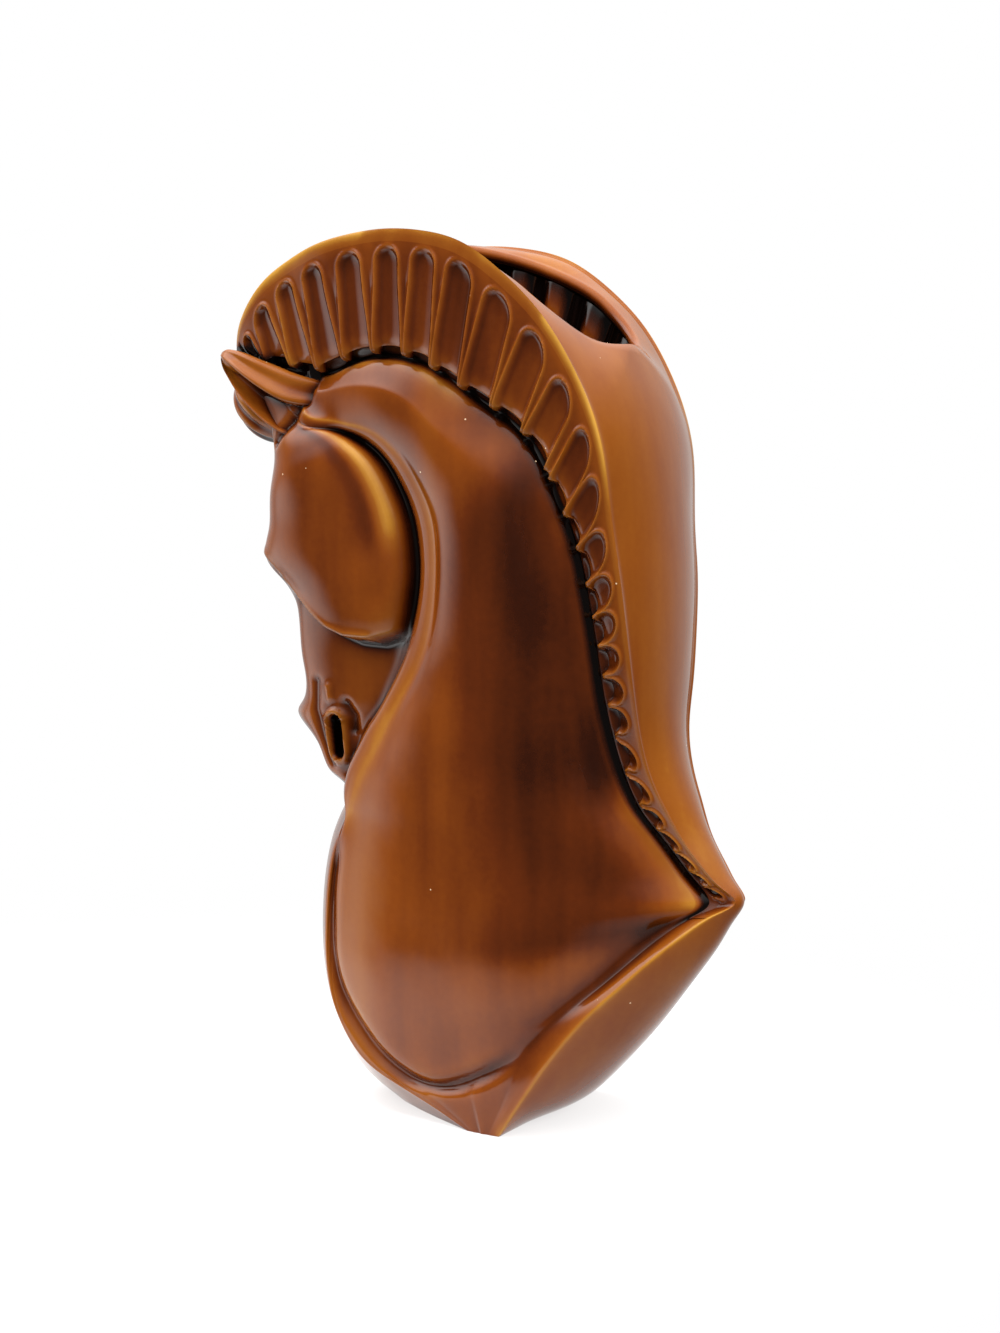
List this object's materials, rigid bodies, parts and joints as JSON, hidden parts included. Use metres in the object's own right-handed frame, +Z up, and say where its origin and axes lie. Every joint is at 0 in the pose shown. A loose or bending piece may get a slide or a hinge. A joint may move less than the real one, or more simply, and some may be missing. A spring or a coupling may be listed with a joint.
{
  "type": "vase",
  "caption": "Tall hollow earthenware vase shaped as an arched horse head and neck with a fluted crest, an opening behind the crest and a glossy amber-brown glaze.",
  "frame": {"origin": "middle of the flat foot on the surface that the vase stands on", "axes": "+Z up, the horse faces -X, its near side is -Y and the XZ plane is the plane of symmetry"},
  "size_m": [0.2017, 0.079, 0.3048],
  "materials": {
    "glaze": "glossy"
  },
  "bodies": {
    "root": {"body": "glaze", "left_mane": "glaze", "right_mane": "glaze", "left_ear": "glaze", "right_ear": "glaze", "forelock": "glaze"}
  },
  "joints": []
}
